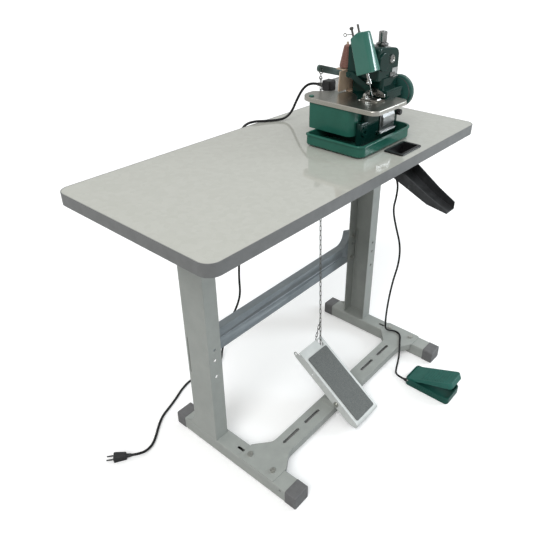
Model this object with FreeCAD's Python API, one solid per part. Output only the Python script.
import FreeCAD, Part
import math
import os

V = FreeCAD.Vector
os.makedirs("parts", exist_ok=True)

# Overlock sewing station: a small overlock head on a work table with two T-shaped
# legs, a presser-lifting treadle, a waste chute and a separate foot control.
# Millimetres. While modelling, the origin is on the floor under the table's centre:
# +X along the table to the right, +Y away from the operator, +Z up.

# Table top
TABLE_LENGTH = 1050.0
TABLE_DEPTH = 480.0
TABLE_HEIGHT = 750.0
TABLE_THICK = 28.0
TABLE_CORNER = 30.0
BAND_THICK = 2.0

# Legs: foot tubes, end caps, channel columns
STAND_HALF = 374.0
FOOT_WIDTH = 50.0
FOOT_HEIGHT = 40.0
FOOT_WALL = 2.5
FOOT_FRONT = -309.0
FOOT_BACK = 132.0
CAP_LENGTH = 34.0
CAP_PROUD = 1.0
CAP_FLOOR = 4.0
COLUMN_WIDTH = 41.6
COLUMN_FRONT = -31.0
COLUMN_DEPTH = 82.0
COLUMN_SHEET = 2.5
GUSSET_REACH = 43.0
GUSSET_RISE = 64.0
TOP_PLATE_THICK = 4.0
TOP_PLATE_LENGTH = 130.0
TOP_PLATE_WIDTH = 60.0
FLANGE_HOLE_Z = (259.0, 312.0, 345.0)
FLANGE_HOLE = 9.0

# Upper crossbar, a pressed pan between the columns
CROSSBAR_LOW = 246.0
CROSSBAR_HIGH = 315.0
CROSSBAR_END_HIGH = 360.0
CROSSBAR_DEPTH = 24.0
CROSSBAR_SHEET = 2.5
BEAD_DEPTH = 1.0
BEAD_WIDTH = 7.0

# Treadle bar across the feet
BAR_CENTRE_Y = -178.5
BAR_WIDTH = 55.0
BAR_SHEET = 3.0
BAR_FLANGE = 20.0
BAR_END_WIDTH = 121.0
BAR_END_Y = -173.5
BAR_FLARE = 46.0
BAR_SLOT_LENGTH = 65.0
BAR_SLOT_WIDTH = 9.0
BAR_SLOT_X = (140.0, 231.5)
BAR_BOLT_Y = (-213.0, -134.0)

# Fasteners
BOLT = 8.0
BOLT_HEAD = 13.0
BOLT_HEAD_HEIGHT = 5.5
SCREW = 5.0
SCREW_HEAD = 9.0
RUN = 0.05

# Waste chute and its frame in the table
CHUTE_X = 189.0
CHUTE_Y = -191.0
FRAME_LENGTH = 98.0
FRAME_DEPTH = 56.0
FRAME_THICK = 4.0
FRAME_LIP = 8.0
CHUTE_SHEET = 2.5
CHUTE_RUN = 160.0

# Treadle
TREADLE_X = -26.0
TREADLE_WIDTH = 102.0
TREADLE_FRONT = 86.0
TREADLE_BACK = 179.0
TREADLE_SHEET = 2.0
TREADLE_FLANGE = 28.0
TREADLE_TOP = 16.0
TREADLE_TILT = 34.6
TREADLE_PIVOT_Y = -213.0
TREADLE_PIVOT_Z = 65.0
TREADLE_PIN = 10.0
BRACKET_SHEET = 3.0
EAR_THICK = 4.0
EAR_GAP = 0.5
PAD_THICK = 3.0
PAD_MARGIN = 9.0
CHAIN_SLOT = 24.0
CHAIN_SLOT_WIDTH = 13.0

# Lifting chain
LINK_PITCH = 13.8
LINK_INNER = 14.0
LINK_WIRE = 2.0
LINK_SIDES = 8
LINK_GAP = 2.8
CHAIN_TAIL = 13.77
CHAIN_HOLE_TABLE = 30.0
TOGGLE = 26.0
HOOK_DROP = 24.0
HOOK_EYE = 6.0
HOOK_WIRE = 2.0

# Head: tray and bed, heights above the table
TRAY_LEFT = 44.0
TRAY_RIGHT = 296.0
TRAY_FRONT = -160.0
TRAY_BACK = 18.0
TRAY_HEIGHT = 30.0
TRAY_WALL = 4.0
TRAY_FLOOR = 4.0
TRAY_LIP = 2.5
TRAY_FOOT = 3.0
TRAY_FOOT_DIAMETER = 22.0
BED_LEFT = 132.0
BED_RIGHT = 290.0
BED_FRONT = -112.0
BED_BACK = 8.0
BED_TOP = 108.0
BED_CORNER = 10.0
BED_WING = 26.0
BED_WING_DROP = 40.0
BOSS_Z = 44.0
CAVITY_FLOOR = 25.0
CAVITY_ROOF_DROP = 23.0
CAVITY_BACK = -62.0

# Head: plates and covers, drops and rises from the bed's top
PLATE_THICK = 4.0
PLATE_RIM = 11.0
PLATE_RIM_WALL = 2.4
PLATE_RIM_END = 126.0
PLATE_LEFT = 84.0
PLATE_RIGHT = 241.0
PLATE_WAIST = 204.0
PLATE_FRONT = -167.0
PLATE_ARM = 39.0
PLATE_BACK = 72.0
PLATE_PIVOT_X = 100.0
PLATE_PIVOT_Y = 40.0
PLATE_SWING = 117.0
PIVOT_SCREW = 8.0
NEEDLE_PLATE_LEFT = 145.0
NEEDLE_PLATE_WIDTH = 55.0
NEEDLE_PLATE_BACK = -68.0
SIDE_COVER_LEFT = 88.0
SIDE_COVER_FRONT = -96.0
SIDE_COVER_BACK = 41.0
SIDE_COVER_LOW = 34.0
COVER_WALL = 3.0
FRONT_COVER_LEFT = 193.0
FRONT_COVER_WIDTH = 72.0
FRONT_COVER_HEIGHT = 66.0
FRONT_COVER_LOW = 24.0
FRONT_COVER_SHEET = 2.2
FRONT_COVER_PIN = 4.0

# Head: upper arm, needle bar and presser, heights above the bed
ARM_LEFT = 192.0
ARM_RIGHT = 292.0
ARM_FRONT = -97.0
ARM_BACK = -5.0
ARM_GAP = 42.0
ARM_HEIGHT = 86.0
ARM_TOP_DROP = 13.0
ARM_BOSS = 46.0
ARM_BOSS_RISE = 90.0
LEDGE_LEFT = 208.0
LEDGE_FRONT = -118.0
LEDGE_HEIGHT = 22.0
NEEDLE_X = 168.0
BOX_LEFT_WIDTH = 13.0
BOX_RIGHT_WIDTH = 22.0
BOX_RIGHT_TOP = 6.0
BOX_DEPTH = 51.0
BOX_HEIGHT = 98.0
BOX_TILT = 20.0
BOX_FOOT_Y = -81.5
BOX_FOOT_RISE = 68.0
BOX_WALL = 2.5
NECK = 34.0
NECK_RISE = 107.0
NEEDLE_BAR = 7.0
NEEDLE_BAR_OUT = 24.0
NEEDLE_LENGTH = 34.8
NEEDLE_DIAMETER = 1.4
PRESSER_PIVOT_Y = -15.0
PRESSER_PIVOT_RISE = 52.0
PRESSER_PIN = 8.0
PRESSER_THICK = 7.0
PRESSER_SHANK = (-86.0, -74.0)
SOLE_THICK = 3.5
SIGHT_X = 252.0
SIGHT_RISE = 93.0
SIGHT_RADIUS = 11.0

# Sewing parts inside the bed and beside the needle plate
LOWER_LOOPER_X = 232.0
LOWER_LOOPER_RISE = 17.0
UPPER_LOOPER_X = 246.0
UPPER_LOOPER_RISE = 41.0
LOOPER_SHAFT = 8.0
FEED_SLOT = (-104.0, -74.0)
FEED_SIDE = 8.5
FEED_DROP = 15.0
FEED_SHAFT = 8.0
KNIFE_PIVOT_Y = -66.0
KNIFE_PIVOT_RISE = 20.0
KNIFE_PIN = 8.0
STITCH_KNOB_INSET = 8.0
STITCH_KNOB_Z = 62.0

# Head: drive
SHAFT_Y = -92.0
SHAFT = 12.0
WHEEL_RADIUS = 43.0
WHEEL_X = 300.0
WHEEL_THICK = 22.0
GROOVE_RADIUS = 33.0
BELT_WIDTH = 6.0
BELT_THICK = 4.0
MOTOR_Y = 72.0
MOTOR_DROP = 10.0
MOTOR_RADIUS = 28.0
MOTOR_LEFT = 228.0
MOTOR_RIGHT = 296.0
PULLEY_RADIUS = 8.0

# Head: lifter lever at the back, heights above the bed
LEVER_PIVOT_X = 280.0
LEVER_PIVOT_RISE = 28.0
LEVER_HOLE_X = 176.5
LEVER_HOLE_RISE = 56.5
LEVER_Y = 70.0
LEVER_THICK = 6.0
LEVER_WIDTH = 18.0
LEVER_PIN = 10.0
LEVER_HOLE = 7.0

# Thread stand and tension unit, heights above the bed
SPOOL_X = 219.0
SPOOL_Y = 17.5
SHELF_RISE = 59.0
SHELF_SIDE = 20.0
STAND_LEFT = 170.0
STAND_FOOT = 48.0
STAND_SHEET = 2.5
CONE_RADIUS = 19.0
CONE_TIP_RADIUS = 9.5
CONE_HEIGHT = 58.0
SPOOL_PIN = 6.0
TENSION_X = 243.0
TENSION_Y = -72.0
TENSION_SINK = 4.0
EYELET_WIRE = 1.8
TENSION_DISC = 16.0
TENSION_KNOB = 21.0
TENSION_KNOB_HEIGHT = 25.0

# Foot control
CONTROL_X = 226.0
CONTROL_FRONT = -436.0
CONTROL_LENGTH = 146.0
CONTROL_WIDTH = 80.0
CONTROL_HEIGHT = 24.0
CONTROL_WALL = 3.0
PEDAL_TILT = 22.5
PEDAL_SKIRT = 15.0
PEDAL_OVERHANG = 2.0
GRIP_RIBS = 9
PEDAL_PIN = 5.0

# Cords
CORD = 7.0
FOOT_CORD = 6.0
PLUG_LENGTH = 46.0
SLEEVE_LENGTH = 22.0
GROMMET_LENGTH = 20.0
BLOCK_LENGTH = 28.0
BLOCK_DEPTH = 26.0
BLOCK_HEIGHT = 28.0

HEAD_Z = TABLE_HEIGHT
BED_LEVEL = HEAD_Z + BED_TOP
CONTROL_BACK = CONTROL_FRONT + CONTROL_LENGTH
# The part's own origin: the middle of the floor box that holds table and foot control.
ORIGIN_Y = (TABLE_DEPTH / 2 + CONTROL_FRONT) / 2


def box(x, y, z):
    """A block from three (low, high) pairs."""
    return Part.makeBox(x[1] - x[0], y[1] - y[0], z[1] - z[0], V(x[0], y[0], z[0]))


def rod(start, end, diameter):
    """A round bar between two points."""
    start, end = V(*start), V(*end)
    run = end - start
    return Part.makeCylinder(diameter / 2, run.Length, start, run)


def cone(start, end, first, last):
    """A tapered bar between two points, with its two diameters."""
    start, end = V(*start), V(*end)
    run = end - start
    return Part.makeCone(first / 2, last / 2, run.Length, start, run)


def spread(axis, a, b, c):
    """A point from two in-plane coordinates and one along the named axis."""
    return {"x": V(c, a, b), "y": V(a, c, b), "z": V(a, b, c)}[axis]


def outline(axis, corners, level):
    """A closed wire through corners (a, b) or (a, b, radius), square to an axis."""
    points = [V(c[0], c[1], 0) for c in corners]
    radii = [c[2] if len(c) > 2 else 0 for c in corners]
    joints = []
    for i, corner in enumerate(points):
        back = (points[i - 1] - corner).normalize()
        ahead = (points[(i + 1) % len(points)] - corner).normalize()
        if radii[i] == 0:
            joints.append((corner, corner, corner))
            continue
        half = back.getAngle(ahead) / 2
        reach = radii[i] / math.tan(half)
        middle = (back + ahead).normalize() * (radii[i] / math.sin(half) - radii[i])
        joints.append((corner + back * reach, corner + middle, corner + ahead * reach))
    edges = []
    for i, (start, middle, end) in enumerate(joints):
        place = [spread(axis, p.x, p.y, level) for p in (joints[i - 1][2], start, middle, end)]
        if (place[1] - place[0]).Length > 1e-6:
            edges.append(Part.LineSegment(place[0], place[1]).toShape())
        if radii[i]:
            edges.append(Part.Arc(place[1], place[2], place[3]).toShape())
    return Part.Wire(edges)


def prism(axis, corners, low, high):
    """An outline drawn square to an axis, raised from low to high along it."""
    rise = spread(axis, 0, 0, high - low)
    return Part.Face(outline(axis, corners, low)).extrude(rise)


def rectangle(a, b, radius=0.0):
    """Corners of a rectangle from two (low, high) pairs."""
    return [(a[0], b[0], radius), (a[1], b[0], radius), (a[1], b[1], radius), (a[0], b[1], radius)]


def slot(axis, centre, length, width, low, high):
    """A round-ended slot whose length runs along the first in-plane direction."""
    a, b = centre
    corners = rectangle((a - length / 2, a + length / 2), (b - width / 2, b + width / 2), width / 2 - 0.01)
    return prism(axis, corners, low, high)


def spin(profile, centre, axis):
    """A ring or disc turned from (distance along the axis, radius) points."""
    centre, axis = V(*centre), V(*axis)
    side = V(0, 0, 1) if abs(axis.z) < 0.9 else V(1, 0, 0)
    points = [centre + axis * along + side * radius for along, radius in profile]
    return Part.Face(Part.makePolygon(points + points[:1])).revolve(centre, axis, 360)


def hexagon(base, axis, across, height):
    """A hexagonal bolt head or nut."""
    base, axis = V(*base), V(*axis)
    side = V(0, 0, 1) if abs(axis.z) < 0.9 else V(1, 0, 0)
    other = axis.cross(side)
    radius = across / math.sqrt(3)
    turns = [math.radians(60 * i) for i in range(6)]
    points = [base + side * (radius * math.cos(t)) + other * (radius * math.sin(t)) for t in turns]
    return Part.Face(Part.makePolygon(points + points[:1])).extrude(axis * height)


def mirrored(shape):
    """The left-hand twin of a right-hand piece."""
    return shape.mirror(V(0, 0, 0), V(1, 0, 0))


def joined(shapes):
    """One solid from several overlapping ones."""
    first, rest = shapes[0], shapes[1:]
    return first.fuse(rest).removeSplitter() if rest else first


def soften(shape, radius, pick):
    """Round the edges whose centre the pick function accepts."""
    edges = [e for e in shape.Edges if pick(e.BoundBox.Center, e)]
    return shape.makeFillet(radius, edges)


def upright(centre, edge):
    return edge.BoundBox.ZLength > 1 and edge.BoundBox.XLength < 0.01 and edge.BoundBox.YLength < 0.01


def cord_tube(name, points, diameter):
    """A round cord on straight runs joined by the largest tangent arcs they allow."""
    points = [V(*p) for p in points]
    edges = []
    last = points[0]
    radii = []
    for before, corner, after in zip(points, points[1:], points[2:]):
        back, ahead = before - corner, after - corner
        turn = math.pi - back.getAngle(ahead)
        reach = 0.45 * min(back.Length, ahead.Length)
        radii.append(reach / math.tan(turn / 2))
        back.normalize()
        ahead.normalize()
        start, end = corner + back * reach, corner + ahead * reach
        sag = radii[-1] / math.cos(turn / 2) - radii[-1]
        middle = corner + (back + ahead).normalize() * sag
        edges.append(Part.LineSegment(last, start).toShape())
        edges.append(Part.Arc(start, middle, end).toShape())
        last = end
    edges.append(Part.LineSegment(last, points[-1]).toShape())
    path = Part.Wire(edges)
    circle = Part.Wire(Part.makeCircle(diameter / 2, points[0], points[1] - points[0]))
    tube = path.makePipeShell([circle], True, False)
    expected = math.pi * diameter ** 2 / 4 * path.Length
    print(name, "length %.0f" % path.Length, "volume ratio %.4f" % (tube.Volume / expected))
    print(name, "radii", " ".join("%.0f" % r for r in radii))
    return tube


# Table: a board with a cut-out for the chute frame, a hole for the chain and a band
TABLE_UNDER = TABLE_HEIGHT - TABLE_THICK
FRAME_X = (CHUTE_X - FRAME_LENGTH / 2, CHUTE_X + FRAME_LENGTH / 2)
FRAME_Y = (CHUTE_Y - FRAME_DEPTH / 2, CHUTE_Y + FRAME_DEPTH / 2)
COLLAR_X = (FRAME_X[0] + FRAME_LIP - CHUTE_SHEET, FRAME_X[1] - FRAME_LIP + CHUTE_SHEET)
COLLAR_Y = (FRAME_Y[0] + FRAME_LIP - CHUTE_SHEET, FRAME_Y[1] - FRAME_LIP + CHUTE_SHEET)
TILT = math.radians(TREADLE_TILT)
EAR_OUT = TREADLE_WIDTH / 2 - TREADLE_SHEET - EAR_GAP


def treadle_point(along, above):
    """Floor-frame (y, z) of a point along the treadle and above its pivot line."""
    y = TREADLE_PIVOT_Y + along * math.cos(TILT) - above * math.sin(TILT)
    z = TREADLE_PIVOT_Z + along * math.sin(TILT) + above * math.cos(TILT)
    return y, z


HOOK_TOP = V(LEVER_HOLE_X, LEVER_Y, BED_LEVEL + LEVER_HOLE_RISE)
CHAIN_TOP = HOOK_TOP - V(0, 0, HOOK_DROP + HOOK_EYE / 2)
CHAIN_X = TREADLE_X + TREADLE_WIDTH / 2 - 17
CHAIN_FOOT = V(CHAIN_X, *treadle_point(TREADLE_BACK - 14, TREADLE_TOP))
CHAIN_RUN = CHAIN_FOOT - CHAIN_TOP
CHAIN_DIRECTION = CHAIN_RUN * (1 / CHAIN_RUN.Length)
CHAIN_AT_TABLE = CHAIN_TOP + CHAIN_RUN * ((CHAIN_TOP.z - TABLE_HEIGHT + TABLE_THICK / 2) / -CHAIN_RUN.z)


def top_plate_spots():
    """Screw centres of the right-hand column top plate."""
    x_mid = STAND_HALF - TOP_PLATE_WIDTH / 2
    y_mid = COLUMN_FRONT + COLUMN_DEPTH / 2
    dx, dy = TOP_PLATE_WIDTH / 2 - 9, TOP_PLATE_LENGTH / 2 - 12
    return [(x_mid + i * dx, y_mid + j * dy) for i in (-1, 1) for j in (-1, 1)]


def table_top():
    half_x, half_y = TABLE_LENGTH / 2 - BAND_THICK, TABLE_DEPTH / 2 - BAND_THICK
    board = prism("z", rectangle((-half_x, half_x), (-half_y, half_y), TABLE_CORNER - BAND_THICK),
                  TABLE_UNDER, TABLE_HEIGHT)
    board = board.cut(box(COLLAR_X, COLLAR_Y, (TABLE_UNDER, TABLE_HEIGHT)))
    hole = rod((CHAIN_AT_TABLE.x, CHAIN_AT_TABLE.y, TABLE_UNDER),
               (CHAIN_AT_TABLE.x, CHAIN_AT_TABLE.y, TABLE_HEIGHT), CHAIN_HOLE_TABLE)
    board = board.cut(hole)
    for x, y in top_plate_spots():
        for side in (-1, 1):
            board = board.cut(rod((side * x, y, TABLE_UNDER), (side * x, y, TABLE_UNDER + 14), SCREW))
    return board


def table_edge_band():
    half_x, half_y = TABLE_LENGTH / 2, TABLE_DEPTH / 2
    plan = rectangle((-half_x, half_x), (-half_y, half_y), TABLE_CORNER)
    outer = prism("z", plan, TABLE_UNDER, TABLE_HEIGHT)
    half_x, half_y = half_x - BAND_THICK, half_y - BAND_THICK
    inner = prism("z", rectangle((-half_x, half_x), (-half_y, half_y), TABLE_CORNER - BAND_THICK),
                  TABLE_UNDER, TABLE_HEIGHT)
    return outer.cut(inner)


# Legs
FOOT_X = (STAND_HALF - FOOT_WIDTH, STAND_HALF)
FOOT_MID = STAND_HALF - FOOT_WIDTH / 2
FOOT_Z = (CAP_PROUD, CAP_PROUD + FOOT_HEIGHT)
COLUMN_BACK = COLUMN_FRONT + COLUMN_DEPTH
COLUMN_X = (STAND_HALF - COLUMN_WIDTH, STAND_HALF)
FLANGE_HOLE_X = STAND_HALF - COLUMN_WIDTH / 2
COLUMN_TOP = TABLE_UNDER - TOP_PLATE_THICK


def right_foot():
    y = (FOOT_FRONT + CAP_FLOOR, FOOT_BACK - CAP_FLOOR)
    tube = prism("y", rectangle(FOOT_X, FOOT_Z, 4), y[0], y[1])
    hollow = prism("y", rectangle((FOOT_X[0] + FOOT_WALL, FOOT_X[1] - FOOT_WALL),
                                  (FOOT_Z[0] + FOOT_WALL, FOOT_Z[1] - FOOT_WALL), 2), y[0], y[1])
    tube = tube.cut(hollow)
    vent = prism("z", rectangle((FOOT_MID - 4, FOOT_MID + 4), (-112, -88), 3.9), FOOT_Z[1] - 5, FOOT_Z[1] + 1)
    side_hole = rod((FOOT_X[1] - 5, -258, 31), (FOOT_X[1] + 1, -258, 31), 7)
    tube = tube.cut(vent).cut(side_hole)
    for y in BAR_BOLT_Y:
        tube = tube.cut(rod((FOOT_MID, y, FOOT_Z[1] - 5), (FOOT_MID, y, FOOT_Z[1] + 1), BOLT + 0.4))
    return tube


def foot_end_caps():
    caps = []
    x = (FOOT_X[0] - CAP_PROUD, FOOT_X[1] + CAP_PROUD)
    z = (0, FOOT_Z[1] + CAP_PROUD)
    for end, inward in ((FOOT_FRONT, 1), (FOOT_BACK, -1)):
        y = sorted((end, end + inward * CAP_LENGTH))
        cap = prism("y", rectangle(x, z, 5), y[0], y[1])
        cap = soften(cap, 3, lambda c, e: abs(c.y - end) < 0.1)
        pocket = sorted((end + inward * CAP_FLOOR, end + inward * (CAP_LENGTH + 1)))
        cap = cap.cut(prism("y", rectangle(FOOT_X, FOOT_Z, 4), pocket[0], pocket[1]))
        caps += [cap, mirrored(cap)]
    return Part.makeCompound(caps)


def right_column():
    sheet = COLUMN_SHEET
    x, y = COLUMN_X, (COLUMN_FRONT, COLUMN_BACK)
    low, inside = FOOT_Z[1], COLUMN_X[1] - COLUMN_SHEET
    corners = [V(inside, y[0], low), V(inside, y[1] + GUSSET_REACH, low), V(inside, y[1], low + GUSSET_RISE),
               V(inside, y[1], COLUMN_TOP), V(inside, y[0], COLUMN_TOP)]
    bow = V(inside, y[1] + 0.28 * GUSSET_REACH, low + 0.28 * GUSSET_RISE)
    edges = [Part.LineSegment(a, b).toShape() for a, b in zip(corners, corners[1:] + corners[:1])]
    edges[1] = Part.Arc(corners[1], bow, corners[2]).toShape()
    web = Part.Face(Part.Wire(edges)).extrude(V(sheet, 0, 0))
    starts = (y[0], y[1] - sheet)
    flanges = [box((x[0], inside + 1), (start, start + sheet), (low, COLUMN_TOP)) for start in starts]
    channel = joined([web] + flanges)
    channel = soften(channel, 2, lambda c, e: upright(c, e) and c.x > x[1] - 0.1 and c.y < y[0] + 0.1)
    for z in FLANGE_HOLE_Z:
        channel = channel.cut(rod((FLANGE_HOLE_X, y[0] - 1, z), (FLANGE_HOLE_X, y[1] + 1, z), FLANGE_HOLE))
    gap = box((inside - 1, x[1] + 1), (y[1] - 9, y[1] - 5), (CROSSBAR_LOW, CROSSBAR_END_HIGH))
    return channel.cut(gap)


def column_top_plates():
    plate_x = (STAND_HALF - TOP_PLATE_WIDTH, STAND_HALF)
    middle = COLUMN_FRONT + COLUMN_DEPTH / 2
    plate_y = (middle - TOP_PLATE_LENGTH / 2, middle + TOP_PLATE_LENGTH / 2)
    plate = prism("z", rectangle(plate_x, plate_y, 8), COLUMN_TOP, TABLE_UNDER)
    for x, y in top_plate_spots():
        plate = plate.cut(rod((x, y, COLUMN_TOP), (x, y, TABLE_UNDER), SCREW + 0.4))
    return Part.makeCompound([plate, mirrored(plate)])


def crossbar_profile(inset):
    """Outline of the crossbar's face, each edge moved in by the inset."""
    end, low, high, tall = STAND_HALF - 6, CROSSBAR_LOW, CROSSBAR_HIGH, CROSSBAR_END_HIGH
    flare = STAND_HALF - COLUMN_WIDTH + 2
    right = [(end - inset, low + inset, 3), (end - inset, tall - inset, 3),
             (flare + inset, tall - inset, 3), (flare - 10 + inset, high - inset, 36)]
    left = [(-x, z, r) for x, z, r in reversed(right)]
    return right + left


def upper_crossbar():
    y = (COLUMN_BACK, COLUMN_BACK + CROSSBAR_DEPTH)
    pan = prism("y", crossbar_profile(0), y[0], y[1])
    pan = pan.cut(prism("y", crossbar_profile(CROSSBAR_SHEET), y[0] + CROSSBAR_SHEET, y[1]))
    reach = STAND_HALF - COLUMN_WIDTH - 30
    bead_z = CROSSBAR_LOW + 0.55 * (CROSSBAR_HIGH - CROSSBAR_LOW)
    pan = pan.cut(slot("y", (0, bead_z), 2 * reach, BEAD_WIDTH, y[0], y[0] + BEAD_DEPTH))
    for z in (FLANGE_HOLE_Z[0], FLANGE_HOLE_Z[2]):
        for side in (-1, 1):
            x = side * FLANGE_HOLE_X
            pan = pan.cut(rod((x, y[0] - 1, z), (x, y[0] + CROSSBAR_SHEET + 1, z), FLANGE_HOLE))
    return pan


def bar_plan(inset, reach):
    """Plan of the treadle bar out to a given half-length, with its flared ends."""
    start, end = FOOT_X[0] - BAR_FLARE, FOOT_X[0] - 2
    grow = min(1, (reach - start) / (end - start))
    right = []
    for side in (-1, 1):
        near = BAR_CENTRE_Y + side * (BAR_WIDTH / 2 - inset)
        far = BAR_END_Y + side * (BAR_END_WIDTH / 2 - inset)
        edge = [(start, near, 30), (min(reach, end) - inset, near + (far - near) * grow, 4)]
        if reach > end:
            edge.append((reach - inset, far, 6))
        right += edge if side < 0 else edge[::-1]
    return right + [(-x, y, r) for x, y, r in reversed(right)]


def treadle_bar():
    top = FOOT_Z[1] + BAR_SHEET
    plate = prism("z", bar_plan(0, STAND_HALF - 1), FOOT_Z[1], top)
    inner_reach = FOOT_X[0] - 2.5
    low = FOOT_Z[1] - BAR_FLANGE
    skirt = prism("z", bar_plan(0, inner_reach), low, FOOT_Z[1])
    skirt = skirt.cut(prism("z", bar_plan(BAR_SHEET, inner_reach), low, FOOT_Z[1]))
    bar = joined([plate, skirt])
    for x in BAR_SLOT_X:
        for side in (-1, 1):
            at = (side * x, BAR_CENTRE_Y + 3.5)
            bar = bar.cut(slot("z", at, BAR_SLOT_LENGTH, BAR_SLOT_WIDTH, low, top))
    for y in BAR_BOLT_Y:
        for side in (-1, 1):
            bar = bar.cut(rod((side * FOOT_MID, y, FOOT_Z[1]), (side * FOOT_MID, y, top), BOLT + 0.4))
    for side in (-1, 1):
        spot = (TREADLE_X + side * 22, BAR_CENTRE_Y)
        bar = bar.cut(rod((*spot, FOOT_Z[1]), (*spot, top), BOLT + 0.4))
    return bar


def stand_fasteners():
    pieces = []
    bar_top = FOOT_Z[1] + BAR_SHEET
    for y in BAR_BOLT_Y:
        head = hexagon((FOOT_MID, y, bar_top), (0, 0, 1), BOLT_HEAD, BOLT_HEAD_HEIGHT)
        bolt = joined([head, rod((FOOT_MID, y, FOOT_Z[1] - 12), (FOOT_MID, y, bar_top + 1), BOLT)])
        pieces += [bolt, mirrored(bolt)]
    for z in (FLANGE_HOLE_Z[0], FLANGE_HOLE_Z[2]):
        seat = COLUMN_BACK - COLUMN_SHEET
        nut_seat = COLUMN_BACK + CROSSBAR_SHEET
        head = hexagon((FLANGE_HOLE_X, seat, z), (0, -1, 0), BOLT_HEAD, BOLT_HEAD_HEIGHT)
        nut = hexagon((FLANGE_HOLE_X, nut_seat, z), (0, 1, 0), BOLT_HEAD, BOLT_HEAD_HEIGHT)
        shank = rod((FLANGE_HOLE_X, seat - 1, z), (FLANGE_HOLE_X, nut_seat + BOLT_HEAD_HEIGHT + 3, z), BOLT)
        bolt = joined([head, nut, shank])
        pieces += [bolt, mirrored(bolt)]
    for x, y in top_plate_spots():
        head = rod((x, y, COLUMN_TOP - 3), (x, y, COLUMN_TOP), SCREW_HEAD)
        screw = joined([head, rod((x, y, COLUMN_TOP - 1), (x, y, TABLE_UNDER + 12), SCREW - 0.2)])
        pieces += [screw, mirrored(screw)]
    for side in (-1, 1):
        spot = (TREADLE_X + side * 22, BAR_CENTRE_Y)
        seat = bar_top + BRACKET_SHEET
        head = hexagon((*spot, seat), (0, 0, 1), BOLT_HEAD, BOLT_HEAD_HEIGHT)
        nut = hexagon((*spot, FOOT_Z[1]), (0, 0, -1), BOLT_HEAD, BOLT_HEAD_HEIGHT)
        shank = rod((*spot, FOOT_Z[1] - BOLT_HEAD_HEIGHT - 2), (*spot, seat + 1), BOLT)
        pieces.append(joined([head, nut, shank]))
    return Part.makeCompound(pieces)


# Waste chute: a frame let into the table and an open trough that narrows to the front
def chute_frame():
    rim = TABLE_HEIGHT + FRAME_THICK
    lid = prism("z", rectangle(FRAME_X, FRAME_Y, 6), TABLE_HEIGHT, rim)
    lid = soften(lid, 1.5, lambda c, e: abs(c.z - rim) < 0.1)
    collar = box((COLLAR_X[0] + 0.2, COLLAR_X[1] - 0.2), (COLLAR_Y[0] + 0.2, COLLAR_Y[1] - 0.2),
                 (TABLE_UNDER, TABLE_HEIGHT + 1))
    mouth = box((FRAME_X[0] + FRAME_LIP, FRAME_X[1] - FRAME_LIP),
                (FRAME_Y[0] + FRAME_LIP, FRAME_Y[1] - FRAME_LIP), (TABLE_UNDER - 1, rim + 1))
    return joined([lid, collar]).cut(mouth)


def chute_section(y, x, low, tops, inset):
    """One cross-section of the trough, drawn in along its sides and floor."""
    lift = 5 * inset
    corners = [(x[0] + inset, low + inset), (x[1] - inset, low + inset),
               (x[1] - inset, tops[1] + lift), (x[0] + inset, tops[0] + lift)]
    return outline("y", corners, y)


def waste_chute():
    under, wide = TABLE_UNDER, COLLAR_X
    back, brink = COLLAR_Y[1] - 0.2, COLLAR_Y[0] + 21
    knee, tip = brink - 0.65 * CHUTE_RUN, brink - CHUTE_RUN
    stations = [(back, wide, under - 21, (under, under)),
                (brink, wide, under - 34, (under, under)),
                (knee, (wide[0] + 2, wide[1] - 22), under - 81, (under - 57, under - 54)),
                (tip, (wide[0] + 4, wide[1] - 42), under - 91, (under - 84, under - 72))]
    shell = Part.makeLoft([chute_section(y, x, low, tops, 0) for y, x, low, tops in stations], True, True)
    ends = (-CHUTE_SHEET, 0, 0, -1)
    room = [chute_section(y + shift, x, low, tops, CHUTE_SHEET)
            for (y, x, low, tops), shift in zip(stations, ends)]
    trough = shell.cut(Part.makeLoft(room, True, True))
    tabs = []
    for edge, out in ((wide[0], -1), (wide[1], 1)):
        x = sorted((edge + out * 15, edge - out * CHUTE_SHEET))
        tab = box(x, (brink + 3, back - 3), (under - CHUTE_SHEET, under))
        hole = (edge + out * 8, (brink + back) / 2)
        tabs.append(tab.cut(rod((*hole, under - 4), (*hole, under), SCREW)))
    trough = joined([trough] + tabs)
    side_hole_y = (knee + brink) / 2
    return trough.cut(rod((wide[0] - 1, side_hole_y, under - 48), (wide[0] + 5, side_hole_y, under - 48), 6))


# Treadle: bracket on the bar, pin, tilted pan with side flanges, rubber pad
def treadle_frame(shape):
    """Turn a piece drawn flat about the pivot into the treadle's rest tilt."""
    shape.rotate(V(0, 0, 0), V(1, 0, 0), TREADLE_TILT)
    shape.translate(V(TREADLE_X, TREADLE_PIVOT_Y, TREADLE_PIVOT_Z))
    return shape


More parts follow.
